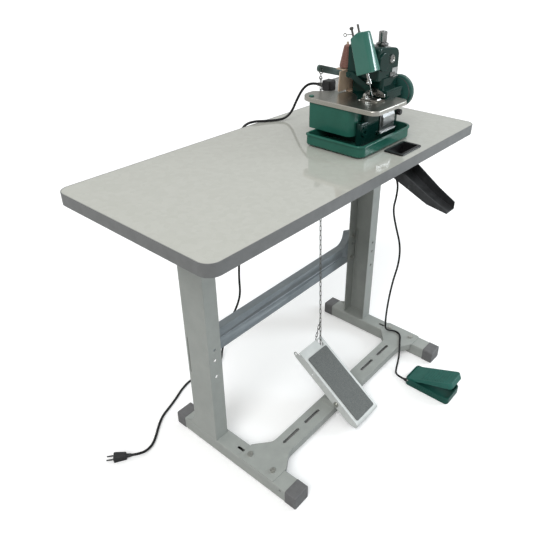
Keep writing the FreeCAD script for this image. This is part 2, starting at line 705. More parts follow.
def treadle_bracket():
    low = FOOT_Z[1] + BAR_SHEET
    y = (BAR_CENTRE_Y - BAR_WIDTH / 2 + 4, BAR_CENTRE_Y + BAR_WIDTH / 2 - 6)
    base = box((TREADLE_X - EAR_OUT, TREADLE_X + EAR_OUT), y, (low, low + BRACKET_SHEET))
    radius = 11.0
    pieces = [base]
    for side in (-1, 1):
        x = sorted((TREADLE_X + side * EAR_OUT, TREADLE_X + side * (EAR_OUT - EAR_THICK)))
        ends = [(end, TREADLE_PIVOT_Y, TREADLE_PIVOT_Z) for end in x]
        knuckle = rod(ends[0], ends[1], 2 * radius)
        web = prism("x", [(y[0], low), (y[1], low), (y[1], low + 6),
                          (TREADLE_PIVOT_Y + 5, TREADLE_PIVOT_Z + 9.5),
                          (TREADLE_PIVOT_Y - 4, TREADLE_PIVOT_Z - 9.5)], x[0], x[1])
        pieces += [knuckle, web]
    bracket = joined(pieces)
    bracket = bracket.cut(rod((TREADLE_X - 80, TREADLE_PIVOT_Y, TREADLE_PIVOT_Z),
                              (TREADLE_X + 80, TREADLE_PIVOT_Y, TREADLE_PIVOT_Z), TREADLE_PIN))
    for side in (-1, 1):
        spot = (TREADLE_X + side * 22, BAR_CENTRE_Y)
        bracket = bracket.cut(rod((*spot, low), (*spot, low + BRACKET_SHEET), BOLT + 0.4))
    return bracket


def treadle_pivot_pin():
    reach = TREADLE_WIDTH / 2 + 5
    at = (TREADLE_PIVOT_Y, TREADLE_PIVOT_Z)
    shank = rod((TREADLE_X - reach, *at), (TREADLE_X + reach, *at), TREADLE_PIN)
    heads = []
    for side in (-1, 1):
        x = TREADLE_X + side * (TREADLE_WIDTH / 2 + 0.4)
        heads.append(rod((x, *at), (x + side * 3, *at), TREADLE_PIN + 6))
    return joined([shank] + heads)


def treadle_plate():
    half, sheet = TREADLE_WIDTH / 2, TREADLE_SHEET
    low = TREADLE_TOP - TREADLE_FLANGE
    pan = prism("x", [(-TREADLE_FRONT, TREADLE_TOP, 10), (-TREADLE_FRONT, low + 12, 6),
                      (-TREADLE_FRONT + 22, low, 8),
                      (TREADLE_BACK, low), (TREADLE_BACK, TREADLE_TOP)], -half, half)
    hollow = prism("x", [(-TREADLE_FRONT + sheet, TREADLE_TOP - sheet, 8), (-TREADLE_FRONT + sheet, low - 5),
                         (TREADLE_BACK + 1, low - 5), (TREADLE_BACK + 1, TREADLE_TOP - sheet)],
                   -half + sheet, half - sheet)
    pan = pan.cut(hollow)
    trim = prism("x", [(TREADLE_BACK - 28, low - 1), (TREADLE_BACK + 1, low - 1),
                       (TREADLE_BACK + 1, TREADLE_TOP - sheet - 6, 0),
                       (TREADLE_BACK - 12, TREADLE_TOP - sheet - 6)],
                 -half + sheet + 0.1, half + 1)
    pan = pan.cut(trim)
    arm = joined([box((-half, -half + sheet), (TREADLE_BACK - 40, TREADLE_BACK + 4), (-10, 5)),
                  rod((-half, TREADLE_BACK + 4, -2.5), (-half + sheet, TREADLE_BACK + 4, -2.5), 15)])
    corner = prism("x", [(TREADLE_BACK - 14, TREADLE_TOP - 5), (TREADLE_BACK + 1, 5.1),
                         (TREADLE_BACK + 1, TREADLE_TOP - 2)],
                   -half - 1, -half + sheet)
    lip = box((-half + sheet, half), (TREADLE_BACK - sheet, TREADLE_BACK),
              (TREADLE_TOP - 9, TREADLE_TOP - sheet + 0.5))
    pan = joined([pan.cut(corner), arm, lip])
    pan = pan.cut(rod((-half - 1, 0, 0), (half + 1, 0, 0), TREADLE_PIN + 2 * RUN))
    for along, diameter in ((TREADLE_BACK + 4, 7), (TREADLE_BACK - 72, 6)):
        pan = pan.cut(rod((-half - 1, along, -2), (-half + sheet + 1, along, -2), diameter))
    hook_x = CHAIN_X - TREADLE_X
    eye_plan = rectangle((hook_x - CHAIN_SLOT_WIDTH / 2, hook_x + CHAIN_SLOT_WIDTH / 2),
                         (TREADLE_BACK - 14 - CHAIN_SLOT / 2, TREADLE_BACK - 14 + CHAIN_SLOT / 2 - 2), 6)
    pan = pan.cut(prism("z", eye_plan, TREADLE_TOP - 5, TREADLE_TOP + 1))
    return treadle_frame(pan)


def treadle_pad():
    half = TREADLE_WIDTH / 2 - PAD_MARGIN
    along = (-TREADLE_FRONT + 14, TREADLE_BACK - 30)
    pad = prism("z", rectangle((-half, half), along, 5), TREADLE_TOP, TREADLE_TOP + PAD_THICK)
    pad = soften(pad, 1, lambda c, e: c.z > TREADLE_TOP + PAD_THICK - 0.1)
    return treadle_frame(pad)


# Lifting chain: round wire links turned by a right angle in turn, hung from a double-eyed hook
def chain_link(inner):
    """One link of eight-sided wire at the origin, its length along Z: two bows and two straights."""
    bow = (LINK_GAP + LINK_WIRE) / 2
    straight = (inner + LINK_WIRE) / 2 - bow
    turn = math.pi / LINK_SIDES
    reach = LINK_WIRE / 2 / math.cos(turn)
    angles = [turn * (2 * i + 1) for i in range(LINK_SIDES)]
    corners = [(bow + reach * math.cos(angle), reach * math.sin(angle)) for angle in angles]
    section = Part.Face(Part.makePolygon([V(x, y, straight) for x, y in corners + corners[:1]]))
    half = [section.revolve(V(0, 0, straight), V(0, -1, 0), 180), prism("z", corners, -straight, straight)]
    other = [piece.copy() for piece in half]
    for piece in other:
        piece.rotate(V(0, 0, 0), V(0, 1, 0), 180)
    return joined(half + other)


def along_chain(shape, distance):
    """Lay a piece drawn along Z down the chain, a distance below the hook's lower eye."""
    turn = FreeCAD.Rotation(V(0, 0, -1), CHAIN_DIRECTION)
    lay = FreeCAD.Placement(CHAIN_TOP + CHAIN_DIRECTION * distance, turn)
    shape.Placement = lay.multiply(shape.Placement)
    return shape


def eye(centre_z, inner):
    """A flat wire eye in the YZ plane below the lever's hole."""
    wide = HOOK_WIRE / 2
    outer = rod((-wide, 0, centre_z), (wide, 0, centre_z), inner + 2 * HOOK_WIRE)
    return outer.cut(rod((-wide - 1, 0, centre_z), (wide + 1, 0, centre_z), inner))


def chain_hook():
    seat = -math.sqrt(LEVER_HOLE ** 2 / 4 - HOOK_WIRE ** 2 / 4) + RUN
    reach = LEVER_THICK / 2 + 1.9
    upper = seat - math.sqrt(reach ** 2 - LEVER_THICK ** 2 / 4)
    shank = box((-HOOK_WIRE / 2, HOOK_WIRE / 2), (-HOOK_WIRE / 2, HOOK_WIRE / 2),
                (-HOOK_DROP + HOOK_EYE / 2 + 0.5, upper - reach - 0.5))
    hook = joined([eye(upper, 2 * reach), eye(-HOOK_DROP, HOOK_EYE), shank])
    hook.translate(HOOK_TOP)
    return hook


def lifter_chain():
    first, last = LINK_INNER / 2 - 0.6, CHAIN_RUN.Length + CHAIN_TAIL
    count = 2 * round(((last - first) / LINK_PITCH + 1) / 2)
    pitch = (last - first) / (count - 1)
    inner = LINK_INNER + pitch - LINK_PITCH
    link = chain_link(inner)
    pieces = []
    for i in range(count):
        piece = link.copy()
        piece.rotate(V(0, 0, 0), V(0, 0, 1), 90 * (i % 2))
        pieces.append(along_chain(piece, first + i * pitch))
    toggle = rod((-TOGGLE / 2, 0, 0), (TOGGLE / 2, 0, 0), LINK_WIRE + 0.4)
    pieces.append(along_chain(toggle, last + inner / 2 - LINK_WIRE / 2 - 0.4))
    return Part.makeCompound(pieces)


# Head: tray on rubber feet, cast bed, plates and covers
TRAY_LOW = HEAD_Z + TRAY_FOOT
TRAY_TOP = TRAY_LOW + TRAY_HEIGHT
BED_LOW = TRAY_LOW + TRAY_FLOOR
PLATE_LEVEL = BED_LEVEL + PLATE_THICK
CAVITY_Z = (HEAD_Z + CAVITY_FLOOR, BED_LEVEL - CAVITY_ROOF_DROP)
NEEDLE_PLATE_X = (NEEDLE_PLATE_LEFT, NEEDLE_PLATE_LEFT + NEEDLE_PLATE_WIDTH)
NEEDLE_PLATE_Y = (PLATE_FRONT + PLATE_ARM + 2, NEEDLE_PLATE_BACK)
LEAN = math.radians(BOX_TILT)
NEEDLE_DOWN = V(0, -math.sin(LEAN), -math.cos(LEAN))
BOX_FOOT = V(NEEDLE_X, BOX_FOOT_Y, BED_LEVEL + BOX_FOOT_RISE)
NEEDLE_AT_PLATE = BOX_FOOT + NEEDLE_DOWN * ((BOX_FOOT.z - PLATE_LEVEL) / math.cos(LEAN))
WINDOW_X = (NEEDLE_PLATE_X[0] + 5, NEEDLE_PLATE_X[1] - 8)
FRONT_COVER_X = (FRONT_COVER_LEFT, FRONT_COVER_LEFT + FRONT_COVER_WIDTH)
COVER_HINGE = (BED_FRONT - 4.5, HEAD_Z + FRONT_COVER_LOW)
COLUMN_OF_ARM = ((ARM_LEFT + 20, ARM_RIGHT - 4), (ARM_FRONT - 3, ARM_BACK - 1))
SHAFT_LEVEL = BED_LEVEL
KNIFE_X = NEEDLE_PLATE_X[1] + 0.6
LOOPERS = (("lower", (LOWER_LOOPER_X, CAVITY_Z[0] + LOWER_LOOPER_RISE), BED_FRONT + 22),
           ("upper", (UPPER_LOOPER_X, CAVITY_Z[0] + UPPER_LOOPER_RISE), BED_FRONT + 12))
FEED_X = NEEDLE_X + FEED_SIDE
FEED_Z = BED_LEVEL - FEED_DROP
STITCH_KNOB = (BED_RIGHT - STITCH_KNOB_INSET, HEAD_Z + STITCH_KNOB_Z)
ARM_LOW = BED_LEVEL + ARM_GAP
ARM_TOP = ARM_LOW + ARM_HEIGHT
TENSION_SEAT = ARM_TOP - TENSION_SINK
PRESSER_X = (ARM_LEFT - 1 - PRESSER_THICK, ARM_LEFT - 1)
PRESSER_PIVOT = (PRESSER_PIVOT_Y, BED_LEVEL + PRESSER_PIVOT_RISE)
KNIFE_PIVOT = (KNIFE_PIVOT_Y, BED_LEVEL + KNIFE_PIVOT_RISE)
LEVER_PIVOT = (LEVER_PIVOT_X, BED_LEVEL + LEVER_PIVOT_RISE)


def tray_plan(inset):
    left, right = TRAY_LEFT + inset, TRAY_RIGHT - inset
    front, back = TRAY_FRONT + inset, TRAY_BACK - inset
    return [(left, front, 24 - inset), (right, front, 34 - inset),
            (right, back, 60 - inset), (left, back, 12 - inset)]


def base_tray():
    shell = prism("z", tray_plan(TRAY_LIP), TRAY_LOW, TRAY_TOP)
    shell = soften(shell, 5, lambda c, e: abs(c.z - TRAY_LOW) < 0.1)
    rim = prism("z", tray_plan(0), TRAY_TOP - 4, TRAY_TOP)
    rim = soften(rim, 1.6, lambda c, e: abs(c.z - TRAY_TOP) < 0.1)
    tray = joined([shell, rim])
    return tray.cut(prism("z", tray_plan(TRAY_LIP + TRAY_WALL), TRAY_LOW + TRAY_FLOOR, TRAY_TOP + 1))


def tray_feet():
    inset = 36
    xs = (TRAY_LEFT + inset, TRAY_RIGHT - inset - 8)
    ys = (TRAY_FRONT + inset, TRAY_BACK - inset)
    feet = [cone((x, y, HEAD_Z), (x, y, TRAY_LOW), TRAY_FOOT_DIAMETER - 3, TRAY_FOOT_DIAMETER)
            for x in xs for y in ys]
    return Part.makeCompound(feet)


def machine_bed():
    plan = rectangle((BED_LEFT, BED_RIGHT), (BED_FRONT, BED_BACK), BED_CORNER)
    block = prism("z", plan, BED_LOW, BED_LEVEL)
    low_part = block.common(prism("z", tray_plan(TRAY_LIP + TRAY_WALL + 1), BED_LOW, TRAY_TOP + 1))
    inside_tray = box((TRAY_LEFT, TRAY_RIGHT), (TRAY_FRONT, TRAY_BACK), (BED_LOW, TRAY_TOP + 1))
    block = joined([low_part, block.cut(inside_tray)])
    wing = prism("z", rectangle((BED_LEFT - BED_WING, BED_LEFT + 24), (BED_FRONT, SIDE_COVER_FRONT), 7),
                 BED_LOW, BED_LEVEL - BED_WING_DROP)
    wing = soften(wing, 4, lambda c, e: c.z > BED_LEVEL - BED_WING_DROP - 0.1 and c.y < BED_FRONT + 4)
    boss_at = (BED_LEFT - 8, HEAD_Z + BOSS_Z)
    boss = rod((boss_at[0], BED_FRONT - 4, boss_at[1]), (boss_at[0], BED_FRONT + 4, boss_at[1]), 24)
    bed = joined([block, wing, boss])
    bed = bed.cut(rod((boss_at[0], BED_FRONT - 5, boss_at[1]), (boss_at[0], BED_FRONT + 3, boss_at[1]), 10))
    bed = bed.cut(box((WINDOW_X[0], FRONT_COVER_X[1] - 3), (BED_FRONT + 5, CAVITY_BACK), CAVITY_Z))
    bed = bed.cut(box((FRONT_COVER_X[0] + 2, FRONT_COVER_X[1] - 3), (BED_FRONT - 1, CAVITY_BACK), CAVITY_Z))
    bed = bed.cut(box(WINDOW_X, (BED_FRONT - 1, CAVITY_BACK), (CAVITY_Z[1] - 6, BED_LEVEL + 1)))
    bed = bed.cut(rod((COLUMN_OF_ARM[0][0] + 3, SHAFT_Y, SHAFT_LEVEL), (BED_RIGHT + 1, SHAFT_Y, SHAFT_LEVEL),
                      SHAFT + 2 * RUN))
    for name, (x, z), y in LOOPERS:
        bed = bed.cut(rod((x, CAVITY_BACK - 1, z), (x, CAVITY_BACK + 24, z), LOOPER_SHAFT + 2 * RUN))
    ends = [(FEED_X, CAVITY_BACK + y, FEED_Z) for y in (-1, 24)]
    bed = bed.cut(rod(ends[0], ends[1], FEED_SHAFT + 2 * RUN))
    knob_at = (STITCH_KNOB[0], BED_FRONT, STITCH_KNOB[1])
    bed = bed.cut(rod(knob_at, (knob_at[0], BED_FRONT + 14, knob_at[2]), 6 + 2 * RUN))
    lugs = []
    for x in (FRONT_COVER_X[0] - 6.4, FRONT_COVER_X[1] + 0.4):
        lug = joined([box((x, x + 6), (COVER_HINGE[0], BED_FRONT + 1),
                          (COVER_HINGE[1] - 4, COVER_HINGE[1] + 4)),
                      rod((x, *COVER_HINGE), (x + 6, *COVER_HINGE), 8)])
        lugs.append(lug.cut(rod((x - 1, *COVER_HINGE), (x + 7, *COVER_HINGE), FRONT_COVER_PIN)))
    return joined([bed] + lugs)


def left_side_cover():
    x, y = (SIDE_COVER_LEFT, BED_LEFT), (SIDE_COVER_FRONT, SIDE_COVER_BACK)
    low = HEAD_Z + SIDE_COVER_LOW
    plan = [(x[0], y[0], 18), (x[1], y[0]), (x[1], y[1]), (x[0], y[1], 8)]
    shell = prism("z", plan, low, BED_LEVEL)
    wall = COVER_WALL
    inner = [(x[0] + wall, y[0] + wall, 18 - wall), (x[1] + 1, y[0] + wall),
             (x[1] + 1, y[1] - wall), (x[0] + wall, y[1] - wall, 8 - wall)]
    shell = shell.cut(prism("z", inner, low - 1, BED_LEVEL - wall))
    at = (PLATE_PIVOT_X, PLATE_PIVOT_Y)
    ear = joined([rod((*at, BED_LEVEL - 8), (*at, BED_LEVEL), 22),
                  box((at[0] - 10, at[0] + 10), (y[1] - 8, at[1]), (BED_LEVEL - 8, BED_LEVEL))])
    screw = joined([rod((*at, BED_LEVEL - 2), (*at, PLATE_LEVEL + 0.2), PIVOT_SCREW),
                    rod((*at, PLATE_LEVEL + 0.1), (*at, PLATE_LEVEL + 2.4), PIVOT_SCREW + 5)])
    return joined([shell, ear, screw])


def plate_plan(inset):
    """Outline of the cloth plate: wide at the left, with an arm passing in front of the needle."""
    left, right, waist = PLATE_LEFT + inset, PLATE_RIGHT - inset, PLATE_WAIST - inset
    front, back, arm_back = PLATE_FRONT + inset, PLATE_BACK - inset, PLATE_FRONT + PLATE_ARM - inset
    return [(left, front, 22 - inset), (right, front, 18 - inset), (right, arm_back, 4), (waist, arm_back),
            (waist, BED_BACK, 8), (waist - 58 + inset, back, 14), (left, back, 40 - inset)]


def cloth_plate():
    arm_back = PLATE_FRONT + PLATE_ARM
    pivot = V(PLATE_PIVOT_X, PLATE_PIVOT_Y, 0)
    low = PLATE_LEVEL - PLATE_RIM
    plate = prism("z", plate_plan(0), low, PLATE_LEVEL)
    plate = soften(plate, 2.4, lambda c, e: abs(c.z - PLATE_LEVEL) < 0.1 and not (
        c.x > PLATE_LEFT + 45 and arm_back - 1 < c.y))
    plate = plate.cut(prism("z", plate_plan(PLATE_RIM_WALL), low - 1, BED_LEVEL))
    behind = (arm_back - 12, PLATE_BACK + 1)
    plate = plate.cut(box((PLATE_RIM_END, PLATE_RIGHT + 1), behind, (low - 1, BED_LEVEL)))
    free = box((NEEDLE_PLATE_X[0] - 0.3, PLATE_RIGHT + 50), (arm_back, PLATE_BACK),
               (BED_LEVEL - 1, PLATE_LEVEL + 1))
    kept = rod((pivot.x, pivot.y, BED_LEVEL - 2), (pivot.x, pivot.y, PLATE_LEVEL + 2), 2 * PLATE_SWING)
    plate = plate.cut(free.cut(kept))
    return plate.cut(rod((pivot.x, pivot.y, BED_LEVEL - 1), (pivot.x, pivot.y, PLATE_LEVEL + 1),
                         PIVOT_SCREW + 2 * RUN))


def needle_plate():
    x, y = NEEDLE_PLATE_X, NEEDLE_PLATE_Y
    plate = prism("z", rectangle(x, y, 2), BED_LEVEL, PLATE_LEVEL)
    hole_y = NEEDLE_AT_PLATE.y - 1
    needle_slot = prism("z", rectangle((NEEDLE_X - 2, NEEDLE_X + 2), (hole_y - 6, hole_y + 5), 1.9),
                        BED_LEVEL - 1, PLATE_LEVEL + 1)
    plate = plate.cut(needle_slot)
    plate = plate.cut(box((FEED_X - 3.4, FEED_X + 3.4), FEED_SLOT, (BED_LEVEL - 1, PLATE_LEVEL + 1)))
    left_slot = 2 * NEEDLE_X - FEED_X
    plate = plate.cut(box((left_slot - 3.4, left_slot + 3.4), FEED_SLOT, (BED_LEVEL - 1, PLATE_LEVEL + 1)))
    edge = (BED_FRONT - 8, BED_FRONT + 26)
    plate = plate.cut(box((x[1] - 4, x[1] + 1), edge, (BED_LEVEL, PLATE_LEVEL + 1)))
    for spot in ((x[0] + 6, y[1] - 6), (x[1] - 7, y[1] - 6)):
        plate = plate.cut(cone((*spot, PLATE_LEVEL - 2.5), (*spot, PLATE_LEVEL), 4, 8))
    return plate


def front_cover():
    x = (FRONT_COVER_X[0] + RUN * 10, FRONT_COVER_X[1] - RUN * 10)
    y, z = COVER_HINGE
    top = z + FRONT_COVER_HEIGHT
    face_y = BED_FRONT - 0.6
    outline = [(x[0], z + 2), (x[1], z + 2), (x[1], top, 9), (x[0], top, 9)]
    sheet = prism("y", outline, face_y - FRONT_COVER_SHEET, face_y)
    barrel = rod((x[0], y, z), (x[1], y, z), 7.4)
    pull = box((x[0] + 24, x[1] - 24), (face_y - 9, face_y), (top - 8, top - 6))
    fold = prism("x", [(face_y - FRONT_COVER_SHEET, z + 14), (face_y - FRONT_COVER_SHEET - 5, z + 20),
                       (face_y - FRONT_COVER_SHEET - 5, top - 26), (face_y - FRONT_COVER_SHEET, top - 18)],
                 x[0] + 8, x[1] - 8)
    cover = joined([sheet, barrel, pull, fold])
    return cover.cut(rod((x[0] - 1, y, z), (x[1] + 1, y, z), FRONT_COVER_PIN + 2 * RUN))


def front_cover_pin():
    return rod((FRONT_COVER_X[0] - 7, *COVER_HINGE), (FRONT_COVER_X[1] + 7, *COVER_HINGE), FRONT_COVER_PIN)


# Head: upper arm and what it carries
def upper_arm():
    profile = [(ARM_LEFT, ARM_LOW, 8), (ARM_RIGHT, ARM_LOW, 8), (ARM_RIGHT, ARM_TOP - ARM_TOP_DROP, 20),
               (ARM_LEFT, ARM_TOP, 12)]
    head = prism("y", profile, ARM_FRONT, ARM_BACK)
    head = soften(head, 5, lambda c, e: abs(c.y - ARM_FRONT) < 0.1)
    column_x, column_y = COLUMN_OF_ARM
    column = prism("z", rectangle(column_x, column_y, 8), BED_LEVEL, ARM_LOW + 6)
    ledge = box((LEDGE_LEFT, column_x[1]), (LEDGE_FRONT, column_y[0] + 12),
                (BED_LEVEL, BED_LEVEL + LEDGE_HEIGHT))
    ledge = soften(ledge, 4, lambda c, e: c.y < LEDGE_FRONT + 0.1 and c.z > BED_LEVEL + 1)
    boss_at = (ARM_LEFT + ARM_BOSS / 2 + 1, BED_LEVEL + ARM_BOSS_RISE)
    boss = rod((boss_at[0], ARM_FRONT - 4, boss_at[1]), (boss_at[0], ARM_FRONT + 8, boss_at[1]), ARM_BOSS)
    boss = soften(boss, 1.5, lambda c, e: abs(c.y - ARM_FRONT + 4) < 0.1)
    neck_at = (BOX_FOOT_Y + 20, BED_LEVEL + NECK_RISE)
    neck = rod((NEEDLE_X, *neck_at), (ARM_LEFT + 10, *neck_at), NECK).cut(needle_box(0))
    saddle = rod((TENSION_X, TENSION_Y, ARM_TOP - 14), (TENSION_X, TENSION_Y, TENSION_SEAT), 20)
    presser_pin = rod((PRESSER_X[0] - 2, *PRESSER_PIVOT), (ARM_LEFT + 6, *PRESSER_PIVOT), PRESSER_PIN)
    knife_pin = rod((KNIFE_X - 1.5, *KNIFE_PIVOT), (column_x[0] + 6, *KNIFE_PIVOT), KNIFE_PIN)
    arm = joined([head, column, ledge, boss, neck, saddle, presser_pin, knife_pin])
    ends = [(x, SHAFT_Y, SHAFT_LEVEL) for x in (column_x[0] + 3, ARM_RIGHT + 1)]
    arm = arm.cut(rod(ends[0], ends[1], SHAFT + 2 * RUN))
    lever_hole = rod((LEVER_PIVOT[0], column_y[1] - 16, LEVER_PIVOT[1]),
                     (LEVER_PIVOT[0], column_y[1] + 1, LEVER_PIVOT[1]), LEVER_PIN)
    return arm.cut(lever_hole)


def lean(shape):
    """Set a piece drawn upright on the origin into the needle bar's lean."""
    shape.rotate(V(0, 0, 0), V(1, 0, 0), -BOX_TILT)
    shape.translate(BOX_FOOT)
    return shape


def needle_box(rounding):
    """The needle bar's cover as a solid block: its front narrows towards the top."""
    half = BOX_DEPTH / 2
    body = prism("x", [(-half, 0, 5), (half, 0, 5), (half - 5, BOX_HEIGHT - 9, 3), (half - 28, BOX_HEIGHT, 4),
                       (-half - 4, BOX_HEIGHT - 3, 6)], -BOX_LEFT_WIDTH, BOX_RIGHT_WIDTH)
    slope = [(BOX_RIGHT_WIDTH, 0), (BOX_RIGHT_WIDTH + 1, 0), (BOX_RIGHT_WIDTH + 1, BOX_HEIGHT + 1),
             (BOX_RIGHT_TOP, BOX_HEIGHT + 1)]
    body = body.cut(prism("y", slope, -half - 6, half + 1))
    if rounding:
        body = soften(body, rounding, lambda c, e: abs(c.x + BOX_LEFT_WIDTH) < 0.1)
    return lean(body)


def needle_bar_cover():
    half = BOX_DEPTH / 2
    room = prism("z", rectangle((-BOX_LEFT_WIDTH + BOX_WALL, BOX_RIGHT_TOP - 0.5),
                                (-half + BOX_WALL, half - 5 - BOX_WALL), 3), 12, BOX_HEIGHT - 16)
    bore = rod((0, 0, -1), (0, 0, 14), NEEDLE_BAR + 2 * RUN)
    return needle_box(2.5).cut(lean(room)).cut(lean(bore))


def needle_bar():
    out = NEEDLE_BAR_OUT
    bar = rod((0, 0, -out), (0, 0, 44), NEEDLE_BAR)
    clamp = rod((0, 0, -out - 2), (0, 0, -out + 9), 11)
    screw = rod((-5, 0, -out + 3), (-10, 0, -out + 3), 5)
    return lean(joined([bar, clamp, screw]))


def needle():
    seat = -NEEDLE_BAR_OUT - 2
    shank = rod((0, 0, seat), (0, 0, seat - 5), 2.2)
    blade = rod((0, 0, seat - 4), (0, 0, seat - NEEDLE_LENGTH + 4), NEEDLE_DIAMETER)
    tip = cone((0, 0, seat - NEEDLE_LENGTH + 4), (0, 0, seat - NEEDLE_LENGTH), NEEDLE_DIAMETER, 0.2)
    return lean(joined([shank, blade, tip]))


def presser_arm():
    y, z = PRESSER_PIVOT
    low = PLATE_LEVEL + 9
    profile = [(y + 9, z - 7, 5), (y + 9, z + 8, 6), (y - 12, z + 8, 8), (PRESSER_SHANK[0] + 4, low + 18, 14),
               (PRESSER_SHANK[0], low, 1), (PRESSER_SHANK[1], low, 1),
               (PRESSER_SHANK[1] + 6, low + 9, 6), (y - 8, z - 7, 10)]
    arm = prism("x", profile, PRESSER_X[0], PRESSER_X[1])
    return arm.cut(rod((PRESSER_X[0] - 1, y, z), (PRESSER_X[1] + 1, y, z), PRESSER_PIN + 2 * RUN))


def presser_foot():
    low = PLATE_LEVEL + 0.3
    x = (NEEDLE_X - 8, NEEDLE_X + 8)
    front = NEEDLE_AT_PLATE.y - 17
    side = [(front, low + 4), (front + 1.5, low + 7), (front + 7, low + SOLE_THICK),
            (PRESSER_SHANK[1], low + SOLE_THICK),
            (PRESSER_SHANK[1], low), (front + 5, low)]
    sole = prism("x", side, x[0], x[1])
    slot_y = NEEDLE_AT_PLATE.y
    needle_slot = rectangle((NEEDLE_X - 3, NEEDLE_X + 3), (slot_y - 9, slot_y + 9), 2.9)
    sole = sole.cut(prism("z", needle_slot, low - 1, low + 9))
    shank = prism("y", [(x[0] + 3, low + 1), (x[1] - 3, low + 1), (PRESSER_X[0], low + 9),
                        (PRESSER_X[0], low + 20),
                        (x[1] - 8, low + 14, 3), (x[0] + 3, low + 10, 3)], PRESSER_SHANK[0] + 2,
                        PRESSER_SHANK[1] - 2)
    return joined([sole, shank])


def pressure_screw():
    at = (ARM_LEFT + 9, ARM_BACK - 16)
    seat = ARM_TOP - 1.6
    stem = rod((*at, seat), (*at, seat + 8), 7)
    head = spin([(8, 0), (8, 6.5), (9, 7.5), (17, 7.5), (18.5, 6), (18.5, 0)], (*at, seat), (0, 0, 1))
    return joined([stem, head, rod((*at, seat), (*at, seat + 2), 12)])


def knob_with_flutes(base, axis, diameter, height, count):
    """A turned knob with grip flutes cut along its side."""
    r = diameter / 2
    knob = spin([(0, 0), (0, r - 1), (1, r), (height - 1.5, r), (height, r - 1.5), (height, 0)], base, axis)
    axis, base = V(*axis), V(*base)
    side = V(0, 0, 1) if abs(axis.z) < 0.9 else V(1, 0, 0)
    other = axis.cross(side)
    for i in range(count):
        turn = 2 * math.pi * i / count
        at = base + side * ((r + 0.9) * math.cos(turn)) + other * ((r + 0.9) * math.sin(turn))
        knob = knob.cut(Part.makeCylinder(1.6, height + 2, at - axis, axis))
    return knob


def tension_unit():
    at = (TENSION_X, TENSION_Y, TENSION_SEAT)
    disc, top = TENSION_DISC, TENSION_KNOB_HEIGHT + 10
    return spin([(0, 0), (0, disc), (1.5, disc), (2.5, disc - 7), (3.5, disc), (5, disc), (5.6, disc - 4),
                 (7.5, disc - 4), (7.5, 4), (8.5, 4), (8.5, 2.5), (top, 2.5), (top, 0)], at, (0, 0, 1))


def tension_knob():
    base = (TENSION_X, TENSION_Y, TENSION_SEAT + 8.6)
    knob = knob_with_flutes(base, (0, 0, 1), TENSION_KNOB, TENSION_KNOB_HEIGHT, 12)
    return knob.cut(rod((TENSION_X, TENSION_Y, TENSION_SEAT),
                        (TENSION_X, TENSION_Y, base[2] + TENSION_KNOB_HEIGHT + 1), 5 + 2 * RUN))


def oil_sight_cap():
    at, r = (SIGHT_X, ARM_FRONT, BED_LEVEL + SIGHT_RISE), SIGHT_RADIUS
    return spin([(0, 0), (0, r), (3.5, r), (5, r - 1.5), (5, r - 3.5), (3, r - 4.5), (3, 0)], at, (0, -1, 0))


def thread_guides():
    """Two posts on the needle bar's cover, the first with a wire eyelet, and a drilled plate on the arm."""
    block = needle_box(0)
    root, tip = BOX_HEIGHT - 14, BOX_HEIGHT + 17
    near, far = (-7, BOX_DEPTH / 2 - 12.5), (3, BOX_DEPTH / 2 - 25.5)
    first = spin([(root, 0), (root, 2.6), (tip - 7, 2.6), (tip - 6, 4.6), (tip - 2, 5), (tip, 3), (tip, 0)],
                 (*near, 0), (0, 0, 1))
    wire = rod((*near, BOX_HEIGHT), (near[0], near[1] + 19, BOX_HEIGHT + 3), EYELET_WIRE)
    ring = Part.makeTorus(4, EYELET_WIRE / 2, V(near[0], near[1] + 22.8, BOX_HEIGHT + 3.6), V(1, 0, 0))
    second = joined([rod((*far, root), (*far, tip + 2), 5.6), rod((*far, root), (*far, BOX_HEIGHT + 1), 9)])
    second = second.cut(rod((far[0], far[1] - 5, tip - 3), (far[0], far[1] + 5, tip - 3), 2.4))
    plate_x, plate_z = (SIGHT_X - 2, SIGHT_X + 22), ARM_LOW + 7
    leg = box(plate_x, (ARM_FRONT - 1.6, ARM_FRONT), (plate_z, plate_z + 10))
    lip = box(plate_x, (ARM_FRONT - 11, ARM_FRONT), (plate_z, plate_z + 1.6))
    plate = joined([leg, lip])
    for x in (plate_x[0] + 5, plate_x[1] - 5):
        plate = plate.cut(rod((x, ARM_FRONT - 7, plate_z - 1), (x, ARM_FRONT - 7, plate_z + 2), 2.6))
    posts = [lean(joined([first, wire, ring])).cut(block), lean(second).cut(block)]
    return Part.makeCompound(posts + [plate])


# Head: drive
def handwheel():
    rim, groove = WHEEL_RADIUS, GROOVE_RADIUS
    end = WHEEL_THICK
    profile = [(-6, SHAFT / 2), (-6, 15), (0.5, 15), (1, groove + 5), (2.6, groove), (7.4, groove),
               (9, groove + 5),
               (9.4, rim - 6), (10.4, rim - 1.5), (12.4, rim), (15.6, rim), (16.6, rim - 1.2), (17.6, rim),
               (end - 1.6, rim), (end, rim - 2), (end, rim - 9), (14, rim - 12), (14, 17), (end, 14),
               (end, SHAFT / 2)]
    return spin(profile, (WHEEL_X, SHAFT_Y, SHAFT_LEVEL), (1, 0, 0))


def main_shaft():
    start = COLUMN_OF_ARM[0][0] + 4
    return rod((start, SHAFT_Y, SHAFT_LEVEL), (WHEEL_X + WHEEL_THICK, SHAFT_Y, SHAFT_LEVEL), SHAFT)


BELT_X = (WHEEL_X + 5 - BELT_WIDTH / 2, WHEEL_X + 5 + BELT_WIDTH / 2)
MOTOR_AT = (MOTOR_Y, BED_LEVEL - MOTOR_DROP)


